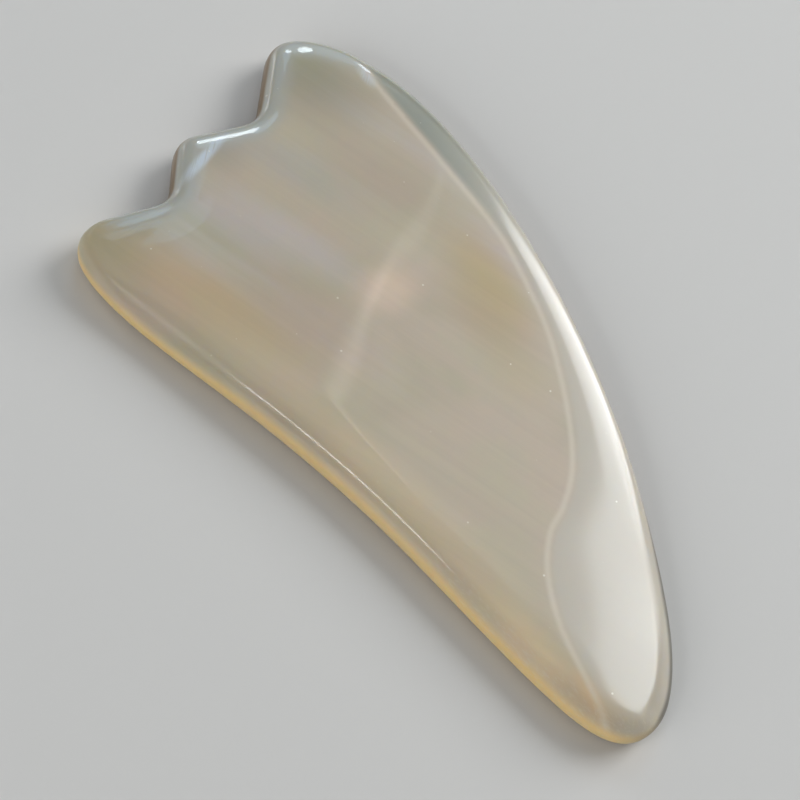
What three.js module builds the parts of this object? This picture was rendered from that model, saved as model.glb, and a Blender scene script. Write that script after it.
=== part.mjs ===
// A gua sha board cut and polished from one thick slab of pale buffalo horn.
//
// It lies on its flat back. Units are millimetres, +Z is up through the thickness, +X points
// at the narrow tip, the long convex back of the board is on the +Y side and the shallow
// hollow of the scraping edge is on the -Y side. The three-lobed comb end faces -X.

import * as THREE from 'three';

// ---- Driving dimensions ----------------------------------------------------------------

const LENGTH = 110;
const WIDTH = 58.8;
const EDGE_THICKNESS = 5.6;      // where the rounded edge hands over to the front face
const CROWN_RISE = 1.2;          // further rise of the front face to the middle of the board
const RIM_HEIGHT = 2.7;          // height of the outermost line of the rounded edge
const FRONT_ROUND = 2.8;         // reach of the rounding, inwards from the rim, on the front
const BACK_ROUND = 2.4;          // the same on the back
const ROUND_SQUARENESS = 2.3;    // 2 is an elliptical edge, more is a squarer one

const HALF_LENGTH = LENGTH / 2;
const HALF_WIDTH = WIDTH / 2;

// The outline's turning points, counter-clockwise as seen from the front. Each has the heading
// of the outline there, in degrees, and how far the outline is pulled along that heading
// before and after the point.
const HOLLOW = { x: 1, y: 2.4 - HALF_WIDTH, heading: 0, before: 20, after: 15 };
const TIP_BELLY = { x: 43, y: -HALF_WIDTH, heading: 0, before: 12, after: 8 };
const TIP = { x: HALF_LENGTH, y: -22.2, heading: 90, before: 5.3, after: 4.2 };
const SHOULDER = { x: 46, y: -8.1, heading: 137, before: 6.5, after: 30 };
const BACK_TOP = { x: -35, y: HALF_WIDTH, heading: 180, before: 22, after: 12.5 };
const COMB_START = { x: -HALF_LENGTH, y: 19.7, heading: 270, before: 3.9 };
const COMB_END = { x: -52.1, y: -24, heading: 270, after: 4 };
const LOBE_BELLY = { x: -39, y: -HALF_WIDTH, heading: 0, before: 8, after: 10 };

// The comb end between COMB_START and COMB_END: the corners of its three lobes and two
// notches, each with the radius that rounds it.
const COMB_CORNERS = [
  { x: COMB_START.x, y: 18.0, radius: 5.0 },
  { x: -47.8, y: 7.6, radius: 4.0 },
  { x: -53.7, y: -3.6, radius: 4.0 },
  { x: -47.2, y: -12.0, radius: 3.5 },
  { x: COMB_END.x, y: -22.4, radius: 6.0 },
];

// The ridge line that the crowned front rises to.
const RIDGE = new THREE.Line3(new THREE.Vector3(-33, 0, 0), new THREE.Vector3(38, -16.5, 0));

// ---- Fineness of the mesh --------------------------------------------------------------

const MAX_STEP = 3.2;                           // longest step along the outline
const MAX_TURN = THREE.MathUtils.degToRad(9);   // sharpest turn in one step
const BACK_ROUND_STEPS = 4;
const FRONT_ROUND_STEPS = 5;
const CROWN_STEPS = 5;
const CROWN_REACH = 0.9;                        // part of the way to the ridge that rings cover

// ---- Outline ---------------------------------------------------------------------------

// A point ahead of (or, with a negative distance, behind) a turning point, along its heading.
function along({ x, y, heading }, distance) {
  const angle = THREE.MathUtils.degToRad(heading);
  return new THREE.Vector2(x + distance * Math.cos(angle), y + distance * Math.sin(angle));
}

// Adds one smooth curve for each pair of neighbouring turning points.
function addSmoothCurves(path, points) {
  for (let i = 1; i < points.length; i += 1) {
    const leaving = along(points[i - 1], points[i - 1].after);
    const arriving = along(points[i], -points[i].before);
    path.bezierCurveTo(leaving.x, leaving.y, arriving.x, arriving.y, points[i].x, points[i].y);
  }
}

// Adds the zigzag of the comb end, each corner replaced by an arc tangent to both its sides.
// Each arc is joined to the one before it by a straight line.
function addRoundedCorners(path, start, corners, end) {
  corners.forEach(({ x, y, radius }, index) => {
    const before = index === 0 ? start : corners[index - 1];
    const after = index === corners.length - 1 ? end : corners[index + 1];
    const arriving = new THREE.Vector2(x - before.x, y - before.y).normalize();
    const leaving = new THREE.Vector2(after.x - x, after.y - y).normalize();
    const turn = Math.atan2(arriving.cross(leaving), arriving.dot(leaving));
    const cutBack = radius * Math.tan(Math.abs(turn) / 2);
    const arcStart = new THREE.Vector2(x, y).addScaledVector(arriving, -cutBack);
    const toCentre = new THREE.Vector2(-arriving.y, arriving.x).multiplyScalar(Math.sign(turn));
    const centre = arcStart.addScaledVector(toCentre, radius);
    const startAngle = Math.atan2(-toCentre.y, -toCentre.x);
    path.absarc(centre.x, centre.y, radius, startAngle, startAngle + turn, turn < 0);
  });
  path.lineTo(end.x, end.y);
}

function makeOutline() {
  const path = new THREE.Path();
  path.moveTo(HOLLOW.x, HOLLOW.y);
  addSmoothCurves(path, [HOLLOW, TIP_BELLY, TIP, SHOULDER, BACK_TOP, COMB_START]);
  addRoundedCorners(path, COMB_START, COMB_CORNERS, COMB_END);
  addSmoothCurves(path, [COMB_END, LOBE_BELLY, HOLLOW]);
  return path;
}

// Points along the outline with the inward normal at each, closer together where it bends.
function sampleOutline(path) {
  const samples = [];
  for (const curve of path.curves) {
    const length = curve.getLength();
    const turn = curve.getTangentAt(0).angleTo(curve.getTangentAt(1));
    const steps = Math.ceil(Math.max(length / MAX_STEP, turn / MAX_TURN));
    for (let step = 0; step < steps; step += 1) {
      const tangent = curve.getTangentAt(step / steps);
      samples.push({
        point: curve.getPointAt(step / steps),
        inward: new THREE.Vector2(-tangent.y, tangent.x),
      });
    }
  }
  return samples;
}

// ---- Solid -----------------------------------------------------------------------------

// Height of a superelliptical quarter round, 0 at the rim and 1 where it ends.
function roundedRise(share) {
  const remaining = Math.max(0, 1 - share);
  return (1 - remaining ** ROUND_SQUARENESS) ** (1 / ROUND_SQUARENESS);
}

// Insets of the rings of one quarter round, evenly turned from the rim inwards.
function roundInsets(reach, steps) {
  const insets = [];
  for (let step = 1; step <= steps; step += 1) {
    const angle = (Math.PI / 2) * (step / steps);
    insets.push(reach * (1 - Math.cos(angle) ** (2 / ROUND_SQUARENESS)));
  }
  return insets;
}

function frontHeight(inset, wholeInset) {
  const rounding = (EDGE_THICKNESS - RIM_HEIGHT) * roundedRise(inset / FRONT_ROUND);
  const crown = CROWN_RISE * (1 - (1 - inset / wholeInset) ** 2);
  return RIM_HEIGHT + rounding + crown;
}

// Rings of vertices from the border of the flat back, out round the rim and up to the ridge.
function makeRings(samples) {
  const borders = samples.map(({ point, inward }) => {
    const border = point.clone().addScaledVector(inward, FRONT_ROUND);
    const flat = new THREE.Vector3(border.x, border.y, 0);
    const ridge = RIDGE.closestPointToPoint(flat, true, new THREE.Vector3());
    return { border: flat, ridge, whole: FRONT_ROUND + flat.distanceTo(ridge) };
  });

  const rings = [];
  for (const inset of roundInsets(BACK_ROUND, BACK_ROUND_STEPS).reverse()) {
    const height = RIM_HEIGHT * (1 - roundedRise(inset / BACK_ROUND));
    rings.push(samples.map(({ point, inward }) => {
      const shifted = point.clone().addScaledVector(inward, inset);
      return new THREE.Vector3(shifted.x, shifted.y, height);
    }));
  }
  for (const inset of [0, ...roundInsets(FRONT_ROUND, FRONT_ROUND_STEPS)]) {
    rings.push(samples.map(({ point, inward }, index) => {
      const shifted = point.clone().addScaledVector(inward, inset);
      return new THREE.Vector3(shifted.x, shifted.y, frontHeight(inset, borders[index].whole));
    }));
  }
  for (let step = 1; step <= CROWN_STEPS; step += 1) {
    const share = CROWN_REACH * (step / CROWN_STEPS);
    rings.push(borders.map(({ border, ridge, whole }) => {
      const inset = FRONT_ROUND + share * (whole - FRONT_ROUND);
      return border.clone().lerp(ridge, share).setZ(frontHeight(inset, whole));
    }));
  }
  return rings;
}

// Joins the rings into one closed skin: the flat back, the walls, and the top of the crown.
function makeSolid(rings) {
  const count = rings[0].length;
  const index = [];
  const toFlat = (ring) => ring.map(({ x, y }) => new THREE.Vector2(x, y));

  for (const [a, b, c] of THREE.ShapeUtils.triangulateShape(toFlat(rings[0]), [])) {
    index.push(a, c, b);
  }
  for (let ring = 0; ring < rings.length - 1; ring += 1) {
    for (let i = 0; i < count; i += 1) {
      const next = (i + 1) % count;
      const low = ring * count;
      const high = low + count;
      index.push(low + i, low + next, high + next);
      index.push(low + i, high + next, high + i);
    }
  }
  const top = (rings.length - 1) * count;
  for (const [a, b, c] of THREE.ShapeUtils.triangulateShape(toFlat(rings.at(-1)), [])) {
    index.push(top + a, top + b, top + c);
  }

  const geometry = new THREE.BufferGeometry().setFromPoints(rings.flat());
  geometry.setIndex(index);
  geometry.computeVertexNormals();
  return geometry;
}

// ---- Board -----------------------------------------------------------------------------

const horn = new THREE.MeshStandardMaterial({ color: 0xb4aa94, roughness: 0.22, metalness: 0 });

const board = new THREE.Mesh(makeSolid(makeRings(sampleOutline(makeOutline()))), horn);
board.name = 'horn_board';

const scraper = new THREE.Group();
scraper.add(board);

export default scraper;
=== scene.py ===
import math

import bmesh
import bpy
import numpy as np
from mathutils import Matrix, Vector, geometry


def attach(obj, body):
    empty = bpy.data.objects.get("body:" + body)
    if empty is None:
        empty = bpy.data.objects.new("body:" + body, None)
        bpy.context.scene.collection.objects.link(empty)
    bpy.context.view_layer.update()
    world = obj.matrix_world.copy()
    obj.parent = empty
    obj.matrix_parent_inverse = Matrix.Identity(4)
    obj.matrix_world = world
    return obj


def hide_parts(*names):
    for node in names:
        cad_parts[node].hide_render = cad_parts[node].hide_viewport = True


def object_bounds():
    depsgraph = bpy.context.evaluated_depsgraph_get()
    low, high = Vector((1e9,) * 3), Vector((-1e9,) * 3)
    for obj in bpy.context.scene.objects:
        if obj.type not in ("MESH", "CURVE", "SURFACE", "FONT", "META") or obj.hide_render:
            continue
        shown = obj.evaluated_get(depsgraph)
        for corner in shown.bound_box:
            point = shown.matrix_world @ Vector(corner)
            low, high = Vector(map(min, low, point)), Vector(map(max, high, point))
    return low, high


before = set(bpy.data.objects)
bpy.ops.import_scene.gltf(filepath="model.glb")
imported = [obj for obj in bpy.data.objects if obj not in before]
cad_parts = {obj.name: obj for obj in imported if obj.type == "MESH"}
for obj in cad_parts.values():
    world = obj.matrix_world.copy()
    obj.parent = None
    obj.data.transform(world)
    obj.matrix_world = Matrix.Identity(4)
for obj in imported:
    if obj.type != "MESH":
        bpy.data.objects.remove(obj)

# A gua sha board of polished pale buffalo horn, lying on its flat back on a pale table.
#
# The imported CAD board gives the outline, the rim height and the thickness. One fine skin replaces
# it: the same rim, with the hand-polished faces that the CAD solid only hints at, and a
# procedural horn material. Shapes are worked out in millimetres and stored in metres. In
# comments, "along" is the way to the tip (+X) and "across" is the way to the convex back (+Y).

MM = 0.001
NODE = "horn_board"
scene = bpy.context.scene

cad_low, cad_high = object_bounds()
LOW = np.array(cad_low) / MM
HIGH = np.array(cad_high) / MM
MIDDLE = (LOW + HIGH) / 2
TOP = HIGH[2]


# ---- Shape of the polished faces -------------------------------------------------------

UNDER_ROUND = 2.4          # reach of the rounding under the rim, as in the CAD board
FRONT_ROUND = 2.6          # reach of the front rounding along the convex back
SCRAPING_ROUND = 3.2       # along the scraping edge
SOFT_ROUND = 3.9           # and along its softer start, next to the comb end
COMB_ROUND = 1.6           # tighter round the lobes
TIP_ROUND = 3.1            # and softer round the tip
SQUARENESS = 2.3           # 2 is an elliptical rounding, more is squarer
SOFT_SQUARENESS = 1.8      # and less is nearer to a chamfer
TIP_SQUARENESS = 1.5

# Where each rounding fades in: distances from the comb end, or for the tip from the tip.
COMB_ROUND_FADE = (14, 7)
SCRAPING_ROUND_FADE = (11, 18)
SOFT_ROUND_FADE = (36, 26)
TIP_ROUND_FADE = (34, 14)
# And which way the rim there faces: the Y part of its inward direction.
SCRAPING_FACING = (0.3, 0.8)
TIP_FACING = (0.45, -0.25)

CROWN_RADIUS = (4000, 1600)    # how gently the front curves, along and across the board

# Towards its edges the front is eased down further, before the rounding starts: by how much at
# the rim, and from how far in.
COMB_EASE = (0.48, 4.6)
SCRAPING_EASE = (0.75, 7.5)
BACK_EASE = (0.35, 4.5)
# The comb end's easing fades in between two distances from that end. The scraping edge's fades
# in between two places across, and out between two distances from the tip. The back's fades in
# between two places across that slant towards the tip.
COMB_EASE_FADE = (14, 8)
SCRAPING_EASE_FADE = (-4, -14)
TIP_EASE_FADE = (6, 20)
BACK_EASE_FADE = (-8, 4)
BACK_EASE_SLANT = 0.6

# The crease where the flat front gives way to the long facet that thins the back and the tip.
CREASE = [(-49, 28.5), (-42.5, 26), (-33, 24), (-23, 22.1), (-11, 19.6), (-4, 16.9), (5, 12.4),
          (12, 7.4), (18, 2.2), (22.4, -2.8), (25, -8), (26.3, -12.5), (30, -17.5),
          (36, -22), (43, -25.2), (52, -29)]
CREASE_SOFTNESS = 0.4
FACET_SLOPE = 0.032

# Beyond this smoother line the facet bends down further towards the edge.
FACET_FOLD = [(-50, 30), (-33, 26), (-11, 20.5), (5, 13.4), (18, 3), (27, -6.5), (35, -15.5),
              (44, -24), (54, -32)]
FOLD_SOFTNESS = 1.5
FACET_BEND = 0.0040

# Slow waves left by hand polishing: (height, wavelength, heading in degrees, phase).
WAVES = [(0.014, 41, 12, 0.4), (0.010, 27, 78, 2.1), (0.005, 19, 140, 4.0), (0.003, 13, 50, 1.0)]

# Fine ridges that follow the rim of the tip: height, spacing, and how far in from the rim they
# start and end.
POLISH_RIDGES = (0.006, 1.1, 2.2, 5.6)

RIM_STEPS = 960            # points round the rim
ROUND_RINGS = 12           # rings in each rounding
MARGIN_RINGS = 4           # rings that lead from a rounding into the face
MARGIN = 1.2
FRONT_GRID = 0.6           # spacing of the points inside the front face
BACK_GRID = 1.6
BORDER_GAP = 0.55          # share of that spacing kept clear next to the border
CURVE_POINTS = 500         # points on the crease and on the fold
CHUNK = 2000               # points measured at a time, to save memory
SAME_PLACE = 1e-7          # vertices closer than this are one
SAME_HEIGHT = 1e-6         # and those closer in height than this are level

RIM_GLOW_REACH = 6.0       # how far in from the rim the painted edge glow, reflection and shade, the dullness and the scuffs reach
PAST_CREASE_LIMIT = 5.0    # distances past the crease are cut off here


def smooth_step(value, start, end):
    share = np.clip((value - start) / (end - start), 0, 1)
    return share * share * (3 - 2 * share)


def soft_ramp(value, softness):
    """0 below zero and the value itself above it, with a soft bend between."""
    return softness * np.logaddexp(0, value / softness)


def rounded_rise(share, squareness):
    """Height of a superelliptical quarter round: 0 at the rim, 1 where it ends."""
    left = np.clip(1 - share, 0, 1)
    return (1 - left ** squareness) ** (1 / squareness)


def rim_loop(node):
    """The CAD board's widest loop of vertices, in order, as points in millimetres."""
    skin = bmesh.new()
    skin.from_mesh(node.data)
    bmesh.ops.remove_doubles(skin, verts=skin.verts, dist=SAME_PLACE)
    start = max(skin.verts, key=lambda vert: vert.co.x)
    height = start.co.z
    loop = [start]
    seen = {start}
    while True:
        around = [edge.other_vert(loop[-1]) for edge in loop[-1].link_edges]
        on_rim = [v for v in around if abs(v.co.z - height) < SAME_HEIGHT and v not in seen]
        if not on_rim:
            break
        loop.append(on_rim[0])
        seen.add(on_rim[0])
    points = np.array([vert.co[:2] for vert in loop]) / MM
    skin.free()
    following = np.roll(points, -1, axis=0)
    area = (points[:, 0] * following[:, 1] - points[:, 1] * following[:, 0]).sum() / 2
    return (points if area > 0 else points[::-1]), height / MM


def closed_spline(knots, count):
    """Evenly spaced points on a smooth closed curve through the knots."""
    size = len(knots)
    gaps = np.linalg.norm(np.roll(knots, -1, axis=0) - knots, axis=1)
    matrix = np.zeros((size, size))
    bends = np.zeros((size, 2))
    for i in range(size):
        after = (i + 1) % size
        matrix[i, i - 1] = gaps[i - 1]
        matrix[i, i] = 2 * (gaps[i - 1] + gaps[i])
        matrix[i, after] = gaps[i]
        rise_after = (knots[after] - knots[i]) / gaps[i]
        rise_before = (knots[i] - knots[i - 1]) / gaps[i - 1]
        bends[i] = 6 * (rise_after - rise_before)
    curving = np.linalg.solve(matrix, bends)

    starts = np.concatenate([[0], np.cumsum(gaps)])
    places = np.linspace(0, starts[-1], count, endpoint=False)
    piece = np.clip(np.searchsorted(starts, places, side="right") - 1, 0, size - 1)
    after = (piece + 1) % size
    gap = gaps[piece][:, None]
    b = (places - starts[piece])[:, None] / gap
    a = 1 - b
    bent = (a ** 3 - a) * curving[piece] + (b ** 3 - b) * curving[after]
    return a * knots[piece] + b * knots[after] + bent * gap ** 2 / 6


def inward_normals(points):
    along = np.roll(points, -1, axis=0) - np.roll(points, 1, axis=0)
    along /= np.linalg.norm(along, axis=1)[:, None]
    return np.stack([-along[:, 1], along[:, 0]], axis=1)


def open_spline(knots, count):
    """A smooth open curve through the knots (Catmull-Rom)."""
    knots = np.array(knots, float)
    padded = np.vstack([2 * knots[0] - knots[1], knots, 2 * knots[-1] - knots[-2]])
    places = np.linspace(0, len(knots) - 1, count)
    piece = np.minimum(places.astype(int), len(knots) - 2)
    t = (places - piece)[:, None]
    p0, p1, p2, p3 = (padded[piece + shift] for shift in range(4))
    return 0.5 * (2 * p1 + (p2 - p0) * t + (2 * p0 - 5 * p1 + 4 * p2 - p3) * t ** 2
                  + (3 * p1 - p0 - 3 * p2 + p3) * t ** 3)


def nearest_on(line, points):
    """For each point, the index of the line's nearest point, and the way from there to it."""
    places = []
    for part in np.array_split(points, 1 + len(points) // CHUNK):
        away = part[:, None, :] - line[None, :, :]
        places.append(np.hypot(away[..., 0], away[..., 1]).argmin(axis=1))
    places = np.concatenate(places)
    return places, points - line[places]


def depth_inside(rim, points):
    _, away = nearest_on(rim, points)
    return np.linalg.norm(away, axis=1)


def beyond(line, points):
    """Signed distance to a crease, positive on the side of the back and the tip."""
    heading = np.gradient(line, axis=0)
    places, away = nearest_on(line, points)
    side = np.sign(heading[places, 0] * away[:, 1] - heading[places, 1] * away[:, 0])
    return side * np.linalg.norm(away, axis=1)


def eased(depth, drop, reach):
    return drop * np.clip(1 - depth / reach, 0, 1) ** 2


def front_height(points, depth):
    """Height of the polished front face, before its edge is rounded over."""
    x, y = points[:, 0], points[:, 1]
    along, across = x - MIDDLE[0], y - MIDDLE[1]
    height = TOP - along ** 2 / 2 / CROWN_RADIUS[0] - across ** 2 / 2 / CROWN_RADIUS[1]
    comb = smooth_step(x - LOW[0], *COMB_EASE_FADE)
    scraping = smooth_step(y, *SCRAPING_EASE_FADE) * smooth_step(HIGH[0] - x, *TIP_EASE_FADE)
    scraping *= 1 - comb
    back = smooth_step(y + BACK_EASE_SLANT * x, *BACK_EASE_FADE) * (1 - comb)
    height -= comb * eased(depth, *COMB_EASE)
    height -= scraping * eased(depth, *SCRAPING_EASE)
    height -= back * eased(depth, *BACK_EASE)

    height -= FACET_SLOPE * soft_ramp(beyond(crease_line, points), CREASE_SOFTNESS)
    height -= FACET_BEND * soft_ramp(beyond(fold_line, points), FOLD_SOFTNESS) ** 2
    for rise, length, heading, phase in WAVES:
        angle = math.radians(heading)
        place = x * math.cos(angle) + y * math.sin(angle)
        height += rise * np.sin(2 * math.pi * place / length + phase)

    # The ridges fade in and out with depth, and lie only round the tip's convex side.
    rise, spacing, start, end = POLISH_RIDGES
    share = smooth_step(depth, start, start + 1) * smooth_step(depth, end, end - 1.5)
    share *= smooth_step(x + 0.4 * y, 26, 36) * smooth_step(y, -25, -20)
    return height + rise * share * np.sin(2 * math.pi * depth / spacing)


def front_rounding(rim, inward):
    """Reach and squareness of the front rounding at each point of the rim.

    The parts of the rim are told apart by how far along they are and which way they face."""
    from_comb = rim[:, 0] - LOW[0]
    from_tip = HIGH[0] - rim[:, 0]
    facing = inward[:, 1]
    comb = smooth_step(from_comb, *COMB_ROUND_FADE)
    tip = smooth_step(from_tip, *TIP_ROUND_FADE) * smooth_step(facing, *TIP_FACING)
    scraping = smooth_step(facing, *SCRAPING_FACING) * smooth_step(from_comb, *SCRAPING_ROUND_FADE)
    soft = scraping * smooth_step(from_comb, *SOFT_ROUND_FADE)
    squareness = SQUARENESS + soft * (SOFT_SQUARENESS - SQUARENESS)
    squareness += tip * (TIP_SQUARENESS - squareness)
    reach = FRONT_ROUND + scraping * (SCRAPING_ROUND - FRONT_ROUND)
    reach += soft * (SOFT_ROUND - reach)
    reach += comb * (COMB_ROUND - reach)
    reach += tip * (TIP_ROUND - reach)
    return reach, squareness


def filled_face(border, spacing, start_index):
    """Points inside a border, and the triangles that join them to it.

    The border's own points are numbered from start_index, and the new points follow on."""
    low, high = border.min(axis=0), border.max(axis=0)
    row_gap = spacing * math.sqrt(3) / 2
    xs, ys = np.meshgrid(np.arange(low[0], high[0], spacing), np.arange(low[1], high[1], row_gap))
    xs[::2] += spacing / 2
    grid = np.stack([xs.ravel(), ys.ravel()], axis=1)
    places, away = nearest_on(border, grid)
    inward = (away * inward_normals(border)[places]).sum(axis=1)
    clear = np.linalg.norm(away, axis=1) > spacing * BORDER_GAP
    inside = grid[(inward > 0) & clear]
    everything = [Vector(point) for point in np.vstack([border, inside])]
    ring = list(range(len(border)))
    only_inside = 1
    made = geometry.delaunay_2d_cdt(everything, [], [ring], only_inside, SAME_PLACE)
    _, _, triangles, origins, _, _ = made
    number = [start_index + origin[0] for origin in origins]
    return inside, [[number[i] for i in triangle] for triangle in triangles]


def build_skin():
    """Vertices, faces and how far in from the rim each vertex is, all in millimetres."""
    knots, rim_height = rim_loop(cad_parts[NODE])
    rim = closed_spline(knots, RIM_STEPS)
    inward = inward_normals(rim)
    front_round, squareness = front_rounding(rim, inward)
    angles = np.linspace(0, math.pi / 2, ROUND_RINGS + 1)

    rings = []
    insets = []
    for angle in angles[:0:-1]:
        share = np.full(RIM_STEPS, 1 - math.cos(angle) ** (2 / SQUARENESS))
        insets.append(share * UNDER_ROUND)
        at = rim + inward * insets[-1][:, None]
        rings.append(np.column_stack([at, rim_height * (1 - rounded_rise(share, SQUARENESS))]))
    reaches = [front_round * (1 - math.cos(angle) ** (2 / squareness)) for angle in angles]
    reaches += [front_round + MARGIN * (step + 1) / MARGIN_RINGS for step in range(MARGIN_RINGS)]
    for reach in reaches:
        at = rim + inward * reach[:, None]
        rise = rounded_rise(reach / front_round, squareness)
        face = front_height(at, reach)
        rings.append(np.column_stack([at, rim_height + (face - rim_height) * rise]))
        insets.append(reach)

    points = np.vstack(rings)
    faces = []
    for ring in range(len(rings) - 1):
        low = ring * RIM_STEPS
        high = low + RIM_STEPS
        for i in range(RIM_STEPS):
            after = (i + 1) % RIM_STEPS
            faces.append((low + i, low + after, high + after, high + i))

    top_start = len(points) - RIM_STEPS
    inside, triangles = filled_face(rings[-1][:, :2], FRONT_GRID, top_start)
    insets.append(depth_inside(rim, inside))
    points = np.vstack([points, np.column_stack([inside, front_height(inside, insets[-1])])])
    faces += triangles

    shift = len(points) - RIM_STEPS
    under, triangles = filled_face(rings[0][:, :2], BACK_GRID, 0)
    insets.append(depth_inside(rim, under))
    points = np.vstack([points, np.column_stack([under, np.zeros(len(under))])])
    for triangle in triangles:
        faces.append([i if i < RIM_STEPS else i + shift for i in reversed(triangle)])
    return points, faces, np.concatenate(insets)


crease_line = open_spline(CREASE, CURVE_POINTS)
fold_line = open_spline(FACET_FOLD, CURVE_POINTS)
skin_points, skin_faces, skin_depth = build_skin()

board_mesh = bpy.data.meshes.new("polished_board")
board_mesh.from_pydata((skin_points * MM).tolist(), [], skin_faces)
board_mesh.validate()
board_mesh.shade_smooth()
board = bpy.data.objects.new("polished_board", board_mesh)
scene.collection.objects.link(board)

# How near each point is to the rim, and how far beyond the crease, where the horn is thinner. The
# material paints reflections, glow and shade by these.
nearness = np.clip(1 - skin_depth / RIM_GLOW_REACH, 0, 1)
past_crease = beyond(crease_line, skin_points[:, :2])
past_crease = np.clip(past_crease, -PAST_CREASE_LIMIT, PAST_CREASE_LIMIT)
for attribute_name, values in (("rim_nearness", nearness), ("past_crease", past_crease)):
    attribute = board_mesh.attributes.new(attribute_name, "FLOAT", "POINT")
    attribute.data.foreach_set("value", values.astype(np.float32))


# ---- Node helpers ----------------------------------------------------------------------

class Shading:
    """Adds nodes to a material or world. A socket given as a value is linked, a number is set."""

    def __init__(self, owner):
        owner.use_nodes = True
        self.tree = owner.node_tree

    def put(self, socket, value):
        if isinstance(value, bpy.types.NodeSocket):
            self.tree.links.new(value, socket)
        else:
            socket.default_value = value

    def add(self, kind, inputs, **settings):
        node = self.tree.nodes.new("ShaderNode" + kind)
        for name, value in settings.items():
            setattr(node, name, value)
        for name, value in inputs.items():
            self.put(node.inputs[name], value)
        return node

    def math(self, operation, a, b=0.0, c=0.0):
        node = self.add("Math", {0: a, 1: b, 2: c}, operation=operation)
        return node.outputs[0]

    def ramp(self, value, start, end, low=0.0, high=1.0):
        """Smoothly low before start and high after end. Start may be the larger one."""
        inputs = {"Value": value, "From Min": start, "From Max": end, "To Min": low, "To Max": high}
        return self.add("MapRange", inputs, interpolation_type="SMOOTHSTEP").outputs["Result"]

    def mix(self, share, a, b, blend="MIX"):
        """A share of b over a. The node's colours are its inputs 6 and 7 and its output 2."""
        inputs = {"Factor": share, 6: a, 7: b}
        return self.add("Mix", inputs, data_type="RGBA", blend_type=blend).outputs[2]

    def placed(self, vector, location=(0, 0, 0), turn=0.0, size=(1, 1, 1)):
        """The vector as seen from a frame at a location, turned about Z and scaled by a size."""
        inputs = {"Vector": vector, "Location": location, "Rotation": (0, 0, math.radians(turn)),
                  "Scale": size}
        return self.add("Mapping", inputs, vector_type="TEXTURE").outputs[0]

    def out_from(self, place, middle, reach, heading):
        """How far out a point is in an oval spot on the board: 0 in its middle, 1 at its edge."""
        x, y = middle
        spot = self.placed(place, (x, y, 0), heading, (*reach, DEEP))
        return self.add("VectorMath", {0: spot}, operation="LENGTH").outputs["Value"]

    def noise(self, vector, detail=2.0, distortion=0.0):
        inputs = {"Vector": vector, "Scale": 1.0, "Detail": detail, "Distortion": distortion}
        return self.add("TexNoise", inputs).outputs["Fac"]


# ---- Horn material ---------------------------------------------------------------------
#
# In the ramps below, along, across and height are in millimetres, and nearness is 1 at the rim
# and 0 from RIM_GLOW_REACH inwards.

DEEP = 1000                # makes a spot or a stripe the same through the whole thickness
GRAIN_HEADING = 8          # the fibres run almost along the board

# Where one look fades into another, painted glow and shade among them: places along the board, and
# shares of nearness.
COMB_FADE = (-40, -46)     # from the rest of the board to the comb end
RIM_FADE = (0.5, 0.75)     # from the front to the rim

HORN = (0.598, 0.524, 0.408, 1)
HORN_OLIVE = (0.485, 0.452, 0.318, 1)
HORN_LAVENDER = (0.612, 0.560, 0.505, 1)
# Painted reflections past the crease: cool grey at the lobes' end, paler at the tip's end.
COOL_FACET_REFLECTION = (0.310, 0.335, 0.285, 1)      # past the crease, at the lobes' end
TIP_FACET_REFLECTION = (0.590, 0.548, 0.462, 1)       # and at the tip's end
TIP_BELLY = (0.600, 0.490, 0.330, 1)       # where it meets the scraping edge
# A painted highlight along the crease.
CREASE_HIGHLIGHT = (0.76, 0.70, 0.59, 1)
# A painted cool reflection round the lobes.
COOL_LOBE_REFLECTION = (0.455, 0.465, 0.425, 1)
SCUFF_MARKS = (0.78, 0.74, 0.66, 1)        # on the scraping edge near the tip
# Worn polish with a painted bluish highlight.
WORN_CORNER_SHEEN = (0.66, 0.72, 0.77, 1)
# Painted glints of tiny pits.
SPECK_GLINT = (0.90, 0.88, 0.80, 1)
# A painted amber glow of light through the scraping edge, and painted shade at its foot by the
# table.
AMBER_EDGE_GLOW = (0.83, 0.615, 0.285, 1)       # the scraping edge
AMBER_FOOT_SHADE = (0.33, 0.19, 0.07, 1)         # and close to the table
# Painted shade on the walls: brown, and grey at the tip.
COMB_WALL_SHADE = (0.20, 0.12, 0.045, 1)
BACK_WALL_SHADE = (0.17, 0.105, 0.065, 1)
TIP_WALL_SHADE = (0.14, 0.125, 0.095, 1)

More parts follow.
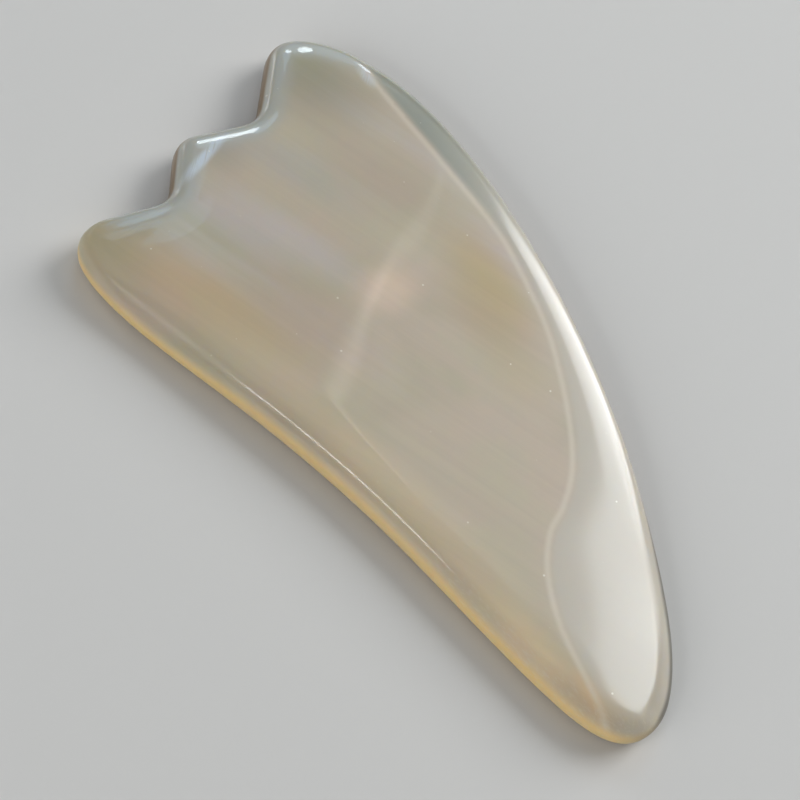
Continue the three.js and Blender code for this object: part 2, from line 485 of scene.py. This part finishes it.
# Clouds and streaks in the horn, and a few painted glows and painted light: middle, reach along and
# across, heading, colour, strength.
CLOUDS_AND_GLOWS = [
    ((-50, -22), (16, 12), 0, (0.405, 0.380, 0.235, 1), 0.8),     # olive, in the three lobes
    ((-51, 0), (10, 9), 0, (0.390, 0.375, 0.320, 1), 0.8),
    ((-49, 19), (18, 11), 0, (0.370, 0.345, 0.240, 1), 0.85),
    ((-31, -20), (24, 7.5), 8, (0.625, 0.470, 0.300, 1), 0.8),    # brown, by the scraping edge
    ((-38, -9), (17, 5), 8, (0.580, 0.560, 0.530, 1), 0.6),       # pale grey streak
    ((-20, -12), (15, 7), 5, (0.560, 0.465, 0.360, 1), 0.7),      # brown
    ((-30, -4), (22, 4.5), 8, (0.620, 0.580, 0.545, 1), 0.7),     # pale lavender streak
    ((-38, 5), (18, 5), 10, (0.510, 0.490, 0.430, 1), 0.6),       # grey
    ((-26, 14), (20, 8), 8, (0.535, 0.460, 0.350, 1), 0.7),       # brown
    # Painted: a warm glow of light showing through the horn.
    ((-15.4, -0.2), (7.5, 6), 60, (0.830, 0.650, 0.515, 1), 0.7),   # peach, in the middle
    ((-4, 9), (17, 8), -24, (0.545, 0.425, 0.265, 1), 0.85),      # tan, towards the back
    ((-6, 12.5), (14, 5), -14, (0.560, 0.450, 0.225, 1), 0.6),    # yellow, next to the crease
    ((8, 3), (8, 6), 0, (0.600, 0.500, 0.320, 1), 0.4),
    # Painted light that lifts the shade of the eased scraping edge.
    ((6, -23.5), (46, 5.5), -2, (0.720, 0.610, 0.450, 1), 0.8),   # pale, by the hollow
    ((36, -27), (17, 4), -6, (0.800, 0.670, 0.440, 1), 0.7),
    ((51, -24.5), (10, 7), 0, (0.560, 0.500, 0.360, 1), 0.8),     # olive, in the tip
    # Painted: a warm glow of light through the thin tip.
    ((46, -26.8), (6.5, 1.9), -14, (0.860, 0.640, 0.400, 1), 0.8),  # warm glow in the tip
]

# The polish: a clear coat over a hazy body, and light that scatters inside. Where the edge is dull
# and on the wall there is less coat, and on the wall less light scatters inside.
HAZE = (0.28, 0.34)        # least and most roughness of the body
DULL_HAZE = 0.22           # added where the edge is dull
COAT = 0.8
DULL_COAT_LOSS = 0.78
WALL_DULLNESS = 0.75
INSIDE_LIGHT = 0.7
WALL_LIGHT_LOSS = 0.6
COAT_ROUGHNESS = 0.03
SCATTER_RADIUS = (1.0, 0.72, 0.38)
SCATTER_SCALE = 0.0035     # metres

# Corners of the lobes where the polish is worn to a pale bloom, with a painted bluish highlight on
# it: middle, reach, heading, strength.
WORN_SHEEN_CORNERS = [((-48.2, -4.0), (7.5, 1.3), -83, 0.95), ((-41.6, 25.2), (3.2, 1.4), -14, 0.6)]


def cloudy_and_glowing_horn(shading, place, along):
    """The horn's own colour: olive and lavender clouds, with fibres along the board. A few clouds
    are painted glows and painted light instead.
    """
    clouds = shading.noise(shading.placed(place, turn=GRAIN_HEADING, size=(34, 17, 17)), 2.5, 0.4)
    colour = shading.mix(shading.ramp(clouds, 0.5, 0.3, 0, 0.6), HORN, HORN_OLIVE)
    veils = shading.noise(shading.placed(place, (40, 7, 0), GRAIN_HEADING, (60, 9, 9)), 3.0, 0.3)
    veil = shading.ramp(veils, 0.50, 0.72)
    veil = shading.math("MULTIPLY", veil, shading.ramp(along, 10, -15, 0.4, 1))
    colour = shading.mix(veil, colour, HORN_LAVENDER)
    for middle, reach, heading, tint, strength in CLOUDS_AND_GLOWS:
        out = shading.out_from(place, middle, reach, heading)
        colour = shading.mix(shading.ramp(out, 1.0, 0.1, 0, strength), colour, tint)
    blush = shading.noise(shading.placed(place, (0, 60, 0), GRAIN_HEADING, (17, 10, 10)), 2.0, 0.2)
    green = (0.98, 1.01, 0.97, 1)
    pink = (1.02, 0.99, 1.01, 1)
    tint = shading.mix(shading.ramp(blush, 0.3, 0.7), green, pink)
    colour = shading.mix(1.0, colour, tint, "MULTIPLY")

    fibres = shading.noise(shading.placed(place, turn=GRAIN_HEADING, size=(26, 0.7, 0.7)), 4.0, 0.2)
    shade = shading.ramp(fibres, 0.3, 0.7, 0.988, 1.012)
    streaks = shading.placed(place, turn=GRAIN_HEADING + 1, size=(60, 2.2, 2.2))
    streaks = shading.ramp(shading.noise(streaks, 2.0, 0.5), 0.3, 0.7, 0.986, 1.014)
    shade = shading.math("MULTIPLY", shade, streaks)
    shade = shading.add("CombineColor", {"Red": shade, "Green": shade, "Blue": shade}).outputs[0]
    return shading.mix(1.0, colour, shade, "MULTIPLY")


def horn_with_painted_reflections(shading, colour, place, nearness):
    """Paints reflections and a highlight into the colour: past the crease, along it and round the
    lobes. It also warms the tip's belly.
    """
    split = shading.add("SeparateXYZ", {"Vector": place})
    along, across = split.outputs["X"], split.outputs["Y"]
    past = shading.add("Attribute", {}, attribute_name="past_crease").outputs["Fac"]
    # Past the crease: a painted reflection, cool grey at the lobes' end and paler at the tip's end.
    facet = shading.mix(shading.ramp(along, -32, 4), COOL_FACET_REFLECTION, TIP_FACET_REFLECTION)
    colour = shading.mix(shading.ramp(past, -0.2, 1.4, 0, 0.9), colour, facet)
    belly = shading.math("MULTIPLY", shading.ramp(along, 37, 45), shading.ramp(along, 54, 49))
    belly = shading.math("MULTIPLY", belly, shading.ramp(across, -22.5, -26.5, 0, 0.5))
    colour = shading.mix(belly, colour, TIP_BELLY)
    # A painted highlight along the crease.
    off_crease = shading.math("ABSOLUTE", shading.math("ADD", past, 0.1))
    colour = shading.mix(shading.ramp(off_crease, 0.8, 0.0, 0, 0.6), colour, CREASE_HIGHLIGHT)
    # A painted cool reflection round the lobes.
    lobes = shading.math("MULTIPLY", shading.ramp(along, -39, -46), shading.ramp(across, -24, -19))
    lobes = shading.math("MULTIPLY", lobes, shading.ramp(nearness, 0.1, 0.75))
    return shading.mix(lobes, colour, COOL_LOBE_REFLECTION)


def worn_and_sheened_horn(shading, colour, place):
    """Adds the pale, streaky bloom on the worn corners of the lobes: partly worn polish, partly a
    painted bluish highlight.
    """
    streaks = shading.noise(shading.placed(place, turn=-60, size=(3.0, 0.3, 0.3)), 3.0)
    for middle, reach, heading, strength in WORN_SHEEN_CORNERS:
        out = shading.out_from(place, middle, reach, heading)
        bloom = shading.ramp(out, 1.0, 0.2, 0, strength)
        bloom = shading.math("MULTIPLY", bloom, shading.ramp(streaks, 0.3, 0.6, 0.45, 1.0))
        colour = shading.mix(bloom, colour, WORN_CORNER_SHEEN)
    return colour


def edge_glow_and_shade(shading, colour, place, nearness):
    """Paints light and shade on the wall: an amber glow of light through the scraping edge, darker
    at its foot by the table, and painted shade on the rest of the wall.
    """
    split = shading.add("SeparateXYZ", {"Vector": place})
    along, height = split.outputs["X"], split.outputs["Z"]
    # Painted shade on the walls: brown, and grey at the tip.
    wall = shading.mix(shading.ramp(along, 28, 44), BACK_WALL_SHADE, TIP_WALL_SHADE)
    wall = shading.mix(shading.ramp(along, *COMB_FADE), wall, COMB_WALL_SHADE)
    colour = shading.mix(wall_share(shading, place, nearness), colour, wall)
    # A painted amber glow along the scraping edge, turning to painted shade close to the table.
    top = shading.ramp(along, -30, -15, 4.4, 5.1)
    amber = shading.ramp(shading.math("SUBTRACT", top, height), 0.0, 1.8)
    amber = shading.math("MULTIPLY", amber, scraping_share(shading, place, nearness))
    edge = shading.mix(shading.ramp(height, 1.2, 0.2), AMBER_EDGE_GLOW, AMBER_FOOT_SHADE)
    return shading.mix(amber, colour, edge)


def scraping_share(shading, place, nearness):
    """1 along the rim of the scraping edge and 0 round the rest of the board."""
    split = shading.add("SeparateXYZ", {"Vector": place})
    tip_end = shading.ramp(split.outputs["X"], 40, 52)
    across = shading.math("MULTIPLY_ADD", tip_end, 8.0, split.outputs["Y"])
    on_rim = shading.ramp(nearness, *RIM_FADE)
    return shading.math("MULTIPLY", shading.ramp(across, -12, -21), on_rim)


def wall_share(shading, place, nearness):
    """1 on the wall below the front rounding, but 0 along the scraping edge."""
    split = shading.add("SeparateXYZ", {"Vector": place})
    comb = shading.ramp(split.outputs["X"], *COMB_FADE)
    tip = shading.ramp(split.outputs["X"], 14, 34)
    top = shading.math("MULTIPLY_ADD", comb, 0.5, 5.3)
    top = shading.math("MULTIPLY_ADD", tip, -0.9, top)
    below = shading.ramp(shading.math("SUBTRACT", top, split.outputs["Z"]), 0.0, 0.9)
    others = shading.math("SUBTRACT", 1.0, scraping_share(shading, place, nearness))
    share = shading.math("MULTIPLY", below, shading.ramp(nearness, *RIM_FADE))
    return shading.math("MULTIPLY", share, others)


def dull_shares(shading, place, nearness):
    """Where the scraping edge's polish is duller: next to the comb end, and near the tip."""
    split = shading.add("SeparateXYZ", {"Vector": place})
    along, across = split.outputs["X"], split.outputs["Y"]
    edge = shading.ramp(across, -20, -24)
    edge = shading.math("MULTIPLY", edge, shading.ramp(nearness, 0.42, 0.58))
    comb_end = shading.math("MULTIPLY", edge, shading.ramp(along, -15, -23))
    near_tip = shading.math("MULTIPLY", edge, shading.ramp(along, 13, 22))
    return comb_end, near_tip


def speck_glints(shading, place):
    """Tiny pale flecks, one here and there, painted glints of small pits: 1 in a fleck and 0
    elsewhere.
    """
    flat = shading.placed(place, size=(6, 6, 6))
    cells = shading.add("TexVoronoi", {"Vector": flat, "Scale": 1.0}, voronoi_dimensions="2D")
    chance = shading.add("SeparateColor", {"Color": cells.outputs["Color"]})
    size = shading.ramp(chance.outputs["Green"], 0, 1, 0.008, 0.03)
    near = shading.math("DIVIDE", cells.outputs["Distance"], size)
    dot = shading.ramp(near, 1.2, 0.6)
    return shading.math("MULTIPLY", dot, shading.ramp(chance.outputs["Red"], 0.6, 0.9))


def horn_material():
    material = bpy.data.materials.new("polished_horn")
    shading = Shading(material)
    shader = shading.tree.nodes["Principled BSDF"]
    metres = shading.add("TexCoord", {}).outputs["Object"]
    place = shading.add("VectorMath", {0: metres, "Scale": 1 / MM}, operation="SCALE").outputs[0]
    nearness = shading.add("Attribute", {}, attribute_name="rim_nearness").outputs["Fac"]

    along = shading.add("SeparateXYZ", {"Vector": place}).outputs["X"]
    colour = cloudy_and_glowing_horn(shading, place, along)
    colour = horn_with_painted_reflections(shading, colour, place, nearness)
    colour = worn_and_sheened_horn(shading, colour, place)
    colour = edge_glow_and_shade(shading, colour, place, nearness)
    dull_end, dull_tip = dull_shares(shading, place, nearness)
    marks = shading.noise(shading.placed(place, turn=-12, size=(1.2, 0.3, 0.3)), 3.0)
    marks = shading.ramp(marks, 0.50, 0.68, 0, 0.22)
    marks = shading.math("MULTIPLY", marks, shading.ramp(nearness, 0.55, 0.70))
    colour = shading.mix(shading.math("MULTIPLY", dull_tip, marks), colour, SCUFF_MARKS)
    # Pale flecks: painted glints of small pits.
    specks = shading.math("MULTIPLY", speck_glints(shading, place), 0.8)
    shading.put(shader.inputs["Base Color"], shading.mix(specks, colour, SPECK_GLINT))

    # The body under the coat is hazy, and hazier still where the edge is dull. Its roughness stays
    # above 0.27, because a render's denoiser leaves a seam where a surface crosses that value.
    haze = shading.noise(shading.placed(place, size=(14, 6, 6)), 5.0)
    haze = shading.ramp(haze, 0.25, 0.8, *HAZE)
    roughness = shading.math("MULTIPLY_ADD", dull_tip, DULL_HAZE, haze)
    shading.put(shader.inputs["Roughness"], roughness)
    wall = wall_share(shading, place, nearness)
    dull = shading.math("MAXIMUM", dull_end, dull_tip)
    dull = shading.math("MAXIMUM", dull, shading.math("MULTIPLY", wall, WALL_DULLNESS))
    coat = shading.math("MULTIPLY_ADD", dull, -DULL_COAT_LOSS, COAT)
    shading.put(shader.inputs["Coat Weight"], coat)

    scratches = shading.noise(shading.placed(place, turn=24, size=(9, 0.12, 0.12)), 3.0)
    bump = shading.add("Bump", {"Height": scratches, "Strength": 0.05, "Distance": 0.00002})
    shading.put(shader.inputs["Normal"], bump.outputs[0])

    shader.inputs["IOR"].default_value = 1.55
    inside = shading.math("MULTIPLY_ADD", wall, -WALL_LIGHT_LOSS, INSIDE_LIGHT)
    shading.put(shader.inputs["Subsurface Weight"], inside)
    shader.inputs["Subsurface Radius"].default_value = SCATTER_RADIUS
    shader.inputs["Subsurface Scale"].default_value = SCATTER_SCALE
    shader.inputs["Coat Roughness"].default_value = COAT_ROUGHNESS
    shader.inputs["Coat IOR"].default_value = 1.5
    return material


board_mesh.materials.append(horn_material())
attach(board, "root")
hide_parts(NODE)


# ---- Table, light and camera -----------------------------------------------------------
#
# These are in metres and degrees. Azimuth 0 is +X and azimuth 90 is +Y, as seen from the board.

centre = Vector(MIDDLE * MM)

TABLE_SIZE = 2.0
TABLE_COLOUR = (0.74, 0.74, 0.73, 1)
TABLE_ROUGHNESS = 0.75

# The air is pale low down and nearly black higher up, where only the lamps show in the polish. It
# changes over between two heights on a sphere of radius 1.
AIR_COLOUR = (0.96, 0.98, 1.0, 1)
AIR_CHANGE = (0.10, 0.16)
AIR_STRENGTHS = (0.58, 0.02)

# The camera stands where the photograph's camera stood.
VIEW_AZIMUTH = -70.2
VIEW_ELEVATION = 60.5
VIEW_ROLL = 24.0
VIEW_DISTANCE = 0.3963
VIEW_TARGET = (-0.00295, -0.01033, 0.0027)
LENS_LENGTH = 124.9

WINDOW_DISTANCE = 1.0
WINDOW_MIDDLE = 80
WINDOW_AZIMUTHS = (54, 104)
WINDOW_ELEVATIONS = (2, 66)
WINDOW_COLOUR = (0.93, 0.97, 1.0, 1)
WINDOW_STRENGTHS = (5.3, 8.2)

# A dim sheet hangs over the board. One edge of it shows as the soft line down the middle of the
# front. A ribbon of light runs along that edge, and another shows in the soft arris of the crease.
OVERHEAD_HEIGHT = 0.9
OVERHEAD_STRENGTH = 0.7
OVERHEAD_EDGE = [(-0.270, 0.640), (-0.245, 0.580), (-0.235, 0.525), (-0.220, 0.465),
                 (-0.205, 0.430), (-0.185, 0.390), (-0.160, 0.325), (-0.125, 0.275)]
OVERHEAD_FAR_CORNERS = [(0.06, 0.3), (0.02, 0.45), (-0.23, 0.70)]
CREASE_STRIP = [(-0.320, 0.645), (-0.215, 0.625), (-0.115, 0.570), (-0.060, 0.545),
                (-0.030, 0.495), (-0.010, 0.410), (0, 0.340)]
RIBBON_HEIGHT = 0.895
RIBBON_POINTS = 40
RIBBON_COLOUR = (1.0, 0.95, 0.90, 1)

WHITE = (1, 1, 1)
COOL = (0.50, 0.76, 1.0)
PALE_BLUE = (0.85, 0.95, 1.0)
SKY_BLUE = (0.80, 0.92, 1.0)
WARM = (1.0, 0.985, 0.955)

# Lamps that show in the polish: name, azimuth, elevation, size, strength, colour, shape.
LAMP_DISTANCE = 1.2
LAMPS = [
    ("cool_window", 127, 36, (0.50, 0.40), 0.9, COOL, "ELLIPSE"),
    ("cool_glint", 133, 48, (0.10, 0.14), 2.0, COOL, "ELLIPSE"),
    ("high_glint", 135, 56, (0.20, 0.12), 1.0, COOL, "ELLIPSE"),
    ("white_glint", 131, 44, (0.09, 0.06), 12.0, PALE_BLUE, "ELLIPSE"),
    ("lobe_glint", 124, 41, (0.05, 0.12), 12.0, PALE_BLUE, "ELLIPSE"),
    ("back_glint", 114.8, 39, (0.06, 0.14), 12.0, SKY_BLUE, "ELLIPSE"),
    ("left_edge", 171, 20, (0.22, 0.62), 2.8, WHITE, "RECTANGLE"),
    ("front", 258.5, 42, (0.20, 0.11), 9.0, WHITE, "RECTANGLE"),
]

# Lamps that only fill the shadows: name, azimuth, elevation, size, strength, colour.
FILL_DISTANCE = 1.5
FILLS = [
    ("ceiling", 0, 90, (1.6, 1.6), 0.35, WHITE),
    ("window_fill", 70, 34, (0.9, 0.9), 5.7, WARM),
    ("front_fill", 259, 25, (1.4, 0.9), 2.25, WHITE),
]


def add_flat(name, width, height):
    """A flat rectangle about its own origin, facing its own +Z."""
    x, y = width / 2, height / 2
    mesh = bpy.data.meshes.new(name)
    mesh.from_pydata([(-x, -y, 0), (x, -y, 0), (x, y, 0), (-x, y, 0)], [], [(0, 1, 2, 3)])
    flat = bpy.data.objects.new(name, mesh)
    scene.collection.objects.link(flat)
    return flat


def add_table():
    table = add_flat("table", TABLE_SIZE, TABLE_SIZE)
    material = bpy.data.materials.new("pale_table")
    shading = Shading(material)
    shader = shading.tree.nodes["Principled BSDF"]
    shader.inputs["Base Color"].default_value = TABLE_COLOUR
    shader.inputs["Roughness"].default_value = TABLE_ROUGHNESS
    table.data.materials.append(material)


def direction(azimuth, elevation):
    """The unit vector that points from the board towards an azimuth and elevation."""
    azimuth, elevation = math.radians(azimuth), math.radians(elevation)
    level = math.cos(elevation)
    return Vector((math.cos(azimuth) * level, math.sin(azimuth) * level, math.sin(elevation)))


def add_lamp(name, azimuth, elevation, distance, size, strength, colour, shape, reflected):
    """A flat lamp that faces the board. Its power is pi times its strength, width and height."""
    lamp = bpy.data.lights.new(name, "AREA")
    lamp.shape = shape
    lamp.size, lamp.size_y = size
    lamp.energy = strength * math.pi * size[0] * size[1]
    lamp.color = colour
    light = bpy.data.objects.new(name, lamp)
    scene.collection.objects.link(light)
    towards = direction(azimuth, elevation)
    light.location = centre + towards * distance
    light.rotation_mode = "QUATERNION"
    light.rotation_quaternion = towards.to_track_quat("Z", "Y")
    light.visible_camera = False
    light.visible_glossy = reflected


def glowing(sheet, name, glow_of, colour=(1, 1, 1, 1)):
    """Gives a sheet a light whose strength glow_of works out from its own 0 to 1 coordinates."""
    material = bpy.data.materials.new(name)
    shading = Shading(material)
    shading.tree.nodes.clear()
    place = shading.add("TexCoord", {}).outputs["Generated"]
    split = shading.add("SeparateXYZ", {"Vector": place})
    glow = glow_of(shading, split.outputs["X"], split.outputs["Y"])
    emission = shading.add("Emission", {"Color": colour, "Strength": glow})
    shading.add("OutputMaterial", {"Surface": emission.outputs[0]})
    sheet.data.materials.append(material)
    sheet.visible_camera = False


def add_window():
    """An upright window that covers a range of azimuths and elevations, as the board sees it.

    It is only seen in reflections. The lamp window_fill casts its light."""
    middle = math.radians(WINDOW_MIDDLE)
    start, end = (math.tan(math.radians(azimuth) - middle) for azimuth in WINDOW_AZIMUTHS)
    low, high = (math.tan(math.radians(elevation)) for elevation in WINDOW_ELEVATIONS)
    width, height = (end - start) * WINDOW_DISTANCE, (high - low) * WINDOW_DISTANCE
    sheet = add_flat("window", width, height)
    forward = Vector((math.cos(middle), math.sin(middle), 0))
    sideways = Vector((-math.sin(middle), math.cos(middle), 0))
    offset = forward + sideways * (start + end) / 2 + Vector((0, 0, (low + high) / 2))
    sheet.location = centre + offset * WINDOW_DISTANCE
    sheet.rotation_euler = (math.pi / 2, 0, middle + math.pi / 2)
    sheet.visible_diffuse = False
    sheet.visible_shadow = False

    def glow_on_sheet(shading, u, v):
        side = shading.math("MULTIPLY_ADD", u, end - start, start)
        rise = shading.math("MULTIPLY_ADD", v, high - low, low)
        return window_glow(shading, side, rise)

    glowing(sheet, "window_light", glow_on_sheet, WINDOW_COLOUR)


def window_glow(shading, side, rise):
    """How bright the window is: it has soft, slanting edges and a brighter part low down.

    Side is how far a point is from the window's middle azimuth, positive for higher azimuths,
    and rise is how high it is above the board. Both are shares of the distance."""
    # The edge at the higher azimuths leans. Below a rise of 1.5 the window widens beyond it, as
    # far as a second leaning edge.
    below_shoulder = shading.math("MAXIMUM", shading.math("SUBTRACT", 1.5, rise), 0.0)
    narrow_edge = shading.math("MULTIPLY_ADD", rise, -0.1, side)
    narrow_edge = shading.math("MULTIPLY_ADD", below_shoulder, -1.2, narrow_edge)
    wide_edge = shading.math("MULTIPLY_ADD", rise, -0.2, side)
    # The lower edge slants too: it is higher at the higher azimuths.
    lower_edge = shading.math("MULTIPLY_ADD", side, -3.0, rise)

    glow = shading.ramp(narrow_edge, 0.045, -0.06)
    for fade in (shading.ramp(side, -0.36, -0.13), shading.ramp(rise, 2.2, 1.8),
                 shading.ramp(wide_edge, 0.225, 0.175), shading.ramp(lower_edge, -0.45, 0.1)):
        glow = shading.math("MULTIPLY", glow, fade)
    bright = shading.ramp(side, -0.08, 0.0)
    bright = shading.math("MULTIPLY", bright, shading.ramp(rise, 1.26, 1.06))
    return shading.math("MULTIPLY", glow, shading.ramp(bright, 0, 1, *WINDOW_STRENGTHS))


def add_overhead():
    """The dim overhead sheet."""
    corners = open_spline(OVERHEAD_EDGE, RIBBON_POINTS).tolist() + OVERHEAD_FAR_CORNERS
    mesh = bpy.data.meshes.new("overhead")
    mesh.from_pydata([(x, y, 0) for x, y in corners], [], [tuple(range(len(corners)))])
    sheet = bpy.data.objects.new("overhead", mesh)
    scene.collection.objects.link(sheet)
    sheet.location.z = OVERHEAD_HEIGHT
    glowing(sheet, "overhead_light", lambda shading, u, v: OVERHEAD_STRENGTH)


def add_ribbon(name, knots, width, strength, start_share=1.0):
    """A narrow overhead band of light along a curve, brightest along its middle.

    Where the curve starts it has only a share of its strength."""
    middle = open_spline(knots, RIBBON_POINTS)
    along = np.gradient(middle, axis=0)
    along /= np.linalg.norm(along, axis=1)[:, None]
    across = np.stack([-along[:, 1], along[:, 0]], axis=1) * width / 2
    rows = np.concatenate([middle - across, middle, middle + across])
    count = len(middle)
    faces = [(row + i, row + i + 1, row + count + i + 1, row + count + i)
             for row in (0, count) for i in range(count - 1)]
    mesh = bpy.data.meshes.new(name)
    mesh.from_pydata(np.column_stack([rows, np.zeros(len(rows))]).tolist(), [], faces)
    level = mesh.attributes.new("level", "FLOAT", "POINT")
    rising = np.clip(np.linspace(start_share, 2 - start_share, count), 0, 1)
    dark = np.zeros(count)
    level.data.foreach_set("value", np.concatenate([dark, rising, dark]).astype(np.float32))
    sheet = bpy.data.objects.new(name, mesh)
    scene.collection.objects.link(sheet)
    sheet.location.z = RIBBON_HEIGHT

    def glow_of(shading, u, v):
        share = shading.add("Attribute", {}, attribute_name="level").outputs["Fac"]
        return shading.math("MULTIPLY", share, strength)

    glowing(sheet, name + "_light", glow_of, RIBBON_COLOUR)


def add_studio_air():
    world = bpy.data.worlds.new("studio")
    shading = Shading(world)
    background = shading.tree.nodes["Background"]
    outwards = shading.add("TexCoord", {}).outputs["Generated"]
    up = shading.add("SeparateXYZ", {"Vector": outwards}).outputs["Z"]
    background.inputs["Color"].default_value = AIR_COLOUR
    shading.put(background.inputs["Strength"], shading.ramp(up, *AIR_CHANGE, *AIR_STRENGTHS))
    scene.world = world


def add_camera():
    back = direction(VIEW_AZIMUTH, VIEW_ELEVATION)
    lens = bpy.data.cameras.new("camera")
    lens.lens = LENS_LENGTH
    camera = bpy.data.objects.new("camera", lens)
    stand = Matrix.Translation(Vector(VIEW_TARGET) + back * VIEW_DISTANCE)
    turn = (-back).to_track_quat("-Z", "Y").to_matrix().to_4x4()
    roll = Matrix.Rotation(math.radians(VIEW_ROLL), 4, "Z")
    camera.matrix_world = stand @ turn @ roll
    scene.collection.objects.link(camera)
    scene.camera = camera


add_table()
add_studio_air()
add_window()
add_overhead()
add_ribbon("overhead_edge", OVERHEAD_EDGE, 0.014, 2.6, start_share=0.5)
add_ribbon("overhead_far_edge", CREASE_STRIP, 0.012, 3.0)
for name, azimuth, elevation, size, strength, colour, shape in LAMPS:
    add_lamp(name, azimuth, elevation, LAMP_DISTANCE, size, strength, colour, shape, True)
for name, azimuth, elevation, size, strength, colour in FILLS:
    add_lamp(name, azimuth, elevation, FILL_DISTANCE, size, strength, colour, "RECTANGLE", False)
add_camera()
scene.view_settings.view_transform = "Standard"
